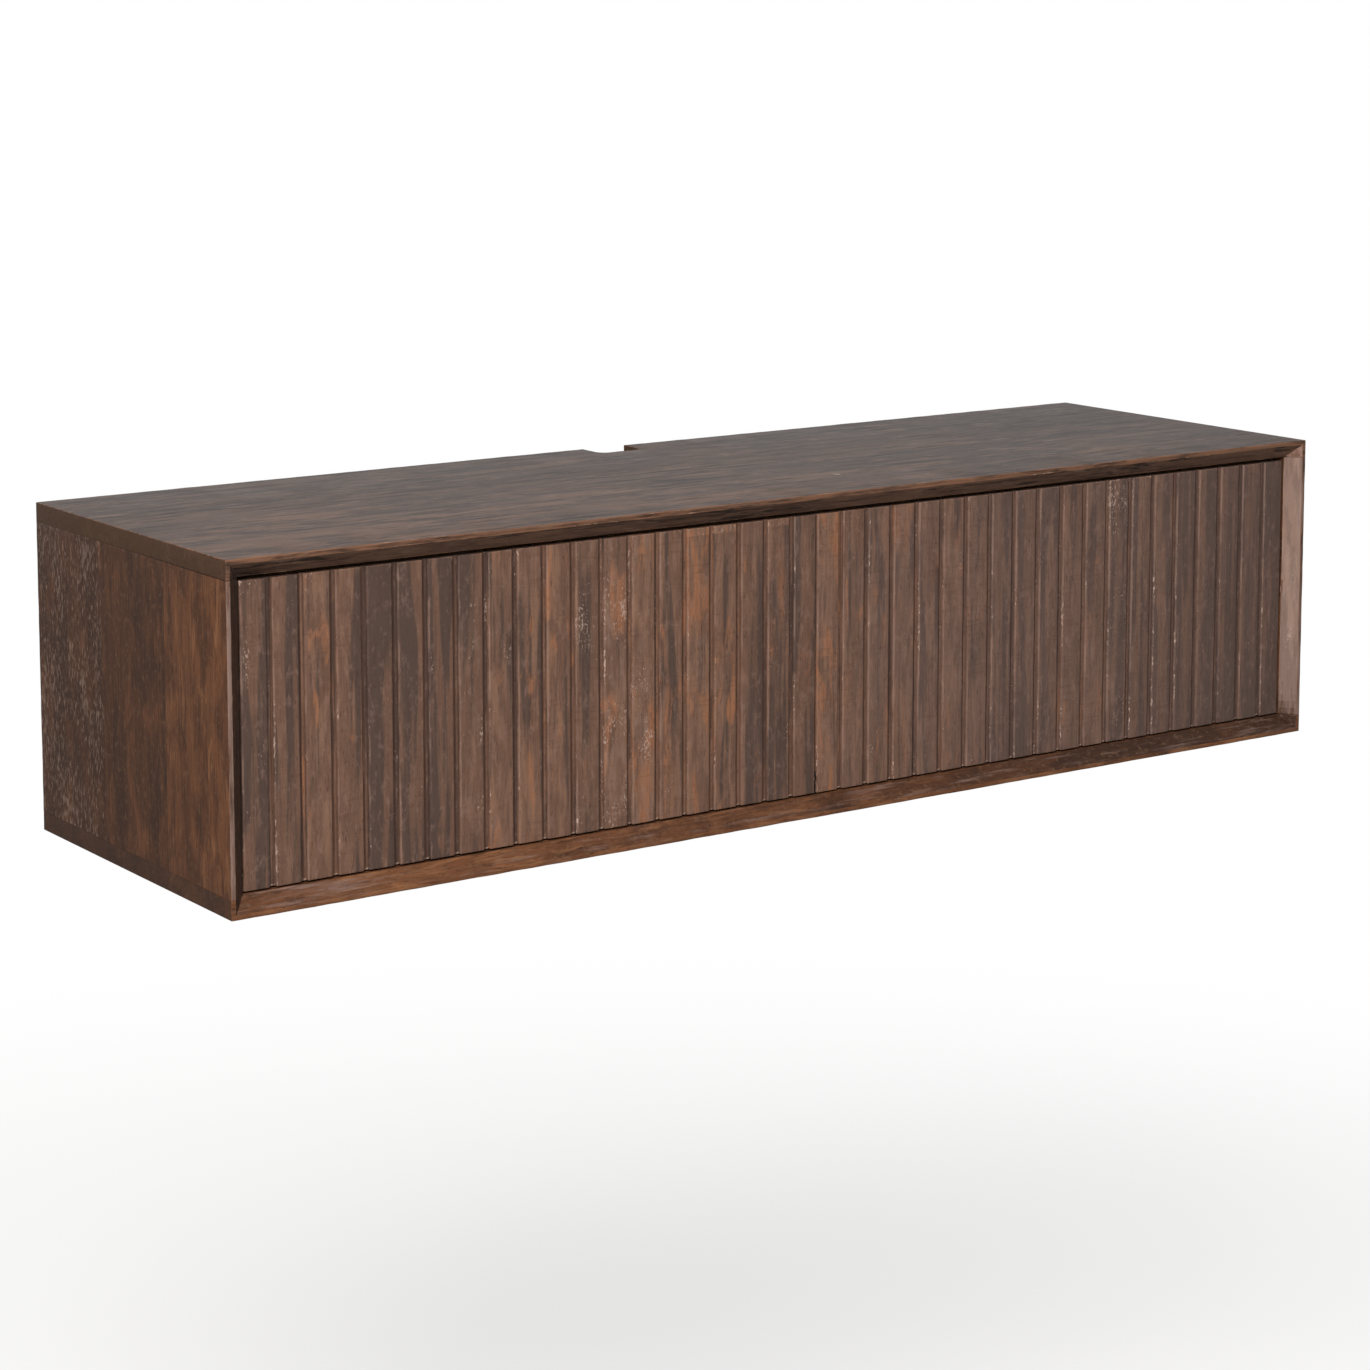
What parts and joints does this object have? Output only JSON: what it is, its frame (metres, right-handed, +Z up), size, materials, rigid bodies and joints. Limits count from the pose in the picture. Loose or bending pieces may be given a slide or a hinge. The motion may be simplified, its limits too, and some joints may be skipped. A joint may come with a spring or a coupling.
{
  "type": "floating media console",
  "caption": "Wall-hung wooden media console with slatted drop-down doors, bevelled front frame, rear cable notch and a cleat rail.",
  "frame": {"origin": "middle of the rear face of the wall rail, on the wall", "axes": "+X across the console, +Y into the wall, +Z up; the doors face -Y"},
  "size_m": [1.4, 0.42, 0.345],
  "materials": {
    "top_wood": "waxed, greyish dark brown",
    "case_wood": "waxed, dark brown, worn edges",
    "slat_wood": "waxed, warm dark brown, worn edges",
    "plywood": "raw birch plywood",
    "rail_wood": "planed beech",
    "zinc_steel": "zinc plated",
    "black_steel": "blackened",
    "brass": "turned",
    "nylon": "moulded",
    "rubber": "moulded"
  },
  "bodies": {
    "case": {"top_board": "top_wood", "bottom_board": "case_wood", "side_board_left": "case_wood", "side_board_right": "case_wood", "centre_divider": "plywood", "back_panel": "plywood", "hanging_rail": "rail_wood", "wall_rail": "rail_wood", "spacer_rail": "rail_wood", "centre_pivot_bracket": "black_steel", "pivot_pin_centre": "zinc_steel", "pivot_pin_left": "zinc_steel", "pivot_pin_right": "zinc_steel", "door_bumper_left": "rubber", "door_bumper_right": "rubber", "stay_plate_left": "zinc_steel", "stay_plate_right": "zinc_steel", "latch_housing_left": "nylon", "latch_housing_right": "nylon"},
    "door_left": {"door_panel_left": "plywood", "stave_left_01": "slat_wood", "stave_left_02": "slat_wood", "stave_left_03": "slat_wood", "stave_left_04": "slat_wood", "stave_left_05": "slat_wood", "stave_left_06": "slat_wood", "stave_left_07": "slat_wood", "stave_left_08": "slat_wood", "stave_left_09": "slat_wood", "stave_left_10": "slat_wood", "pivot_bush_left_inner": "brass", "pivot_bush_left_outer": "brass", "strike_plate_left": "zinc_steel", "stay_bracket_left": "zinc_steel"},
    "door_right": {"door_panel_right": "plywood", "stave_right_01": "slat_wood", "stave_right_02": "slat_wood", "stave_right_03": "slat_wood", "stave_right_04": "slat_wood", "stave_right_05": "slat_wood", "stave_right_06": "slat_wood", "stave_right_07": "slat_wood", "stave_right_08": "slat_wood", "stave_right_09": "slat_wood", "stave_right_10": "slat_wood", "pivot_bush_right_inner": "brass", "pivot_bush_right_outer": "brass", "strike_plate_right": "zinc_steel", "stay_bracket_right": "zinc_steel"},
    "stay_arm_left": {"stay_arm_left": "zinc_steel"},
    "stay_arm_right": {"stay_arm_right": "zinc_steel"},
    "stay_guide_left": {"stay_guide_left": "nylon"},
    "stay_guide_right": {"stay_guide_right": "nylon"},
    "latch_plunger_left": {"latch_plunger_left": "nylon"},
    "latch_plunger_right": {"latch_plunger_right": "nylon"}
  },
  "joints": [
    {"name": "door_left_hinge", "type": "hinge", "parent": "case", "child": "door_left", "pos_m": [-0.3396, -0.3985, -0.1706], "axis": [1, 0, 0], "range_deg": [0, 90]},
    {"name": "door_right_hinge", "type": "hinge", "parent": "case", "child": "door_right", "pos_m": [0.3396, -0.3985, -0.1706], "axis": [1, 0, 0], "range_deg": [0, 90]},
    {"name": "stay_arm_left_eye", "type": "hinge", "parent": "door_left", "child": "stay_arm_left", "pos_m": [-0.6696, -0.3737, -0.03281], "axis": [1, 0, 0], "range_deg": [-45, 0]},
    {"name": "stay_arm_right_eye", "type": "hinge", "parent": "door_right", "child": "stay_arm_right", "pos_m": [0.6696, -0.3737, -0.03281], "axis": [1, 0, 0], "range_deg": [-45, 0]},
    {"name": "stay_guide_left_swivel", "type": "hinge", "parent": "case", "child": "stay_guide_left", "pos_m": [-0.6714, -0.29915, -0.07196], "axis": [1, 0, 0], "range_deg": [0, 45]},
    {"name": "stay_guide_right_swivel", "type": "hinge", "parent": "case", "child": "stay_guide_right", "pos_m": [0.6714, -0.29915, -0.07196], "axis": [1, 0, 0], "range_deg": [0, 45]},
    {"name": "latch_left_push", "type": "slide", "parent": "case", "child": "latch_plunger_left", "axis": [0, 1, 0], "range_m": [0, 0.003], "stiffness_N_per_m": 300, "springref_m": -0.004},
    {"name": "latch_right_push", "type": "slide", "parent": "case", "child": "latch_plunger_right", "axis": [0, 1, 0], "range_m": [0, 0.003], "stiffness_N_per_m": 300, "springref_m": -0.004}
  ],
  "couplings": [
    {"joint": "stay_arm_left_eye", "follows": "door_left_hinge", "ratio": -0.5},
    {"joint": "stay_guide_left_swivel", "follows": "door_left_hinge", "ratio": 0.5},
    {"joint": "stay_arm_right_eye", "follows": "door_right_hinge", "ratio": -0.5},
    {"joint": "stay_guide_right_swivel", "follows": "door_right_hinge", "ratio": 0.5}
  ]
}
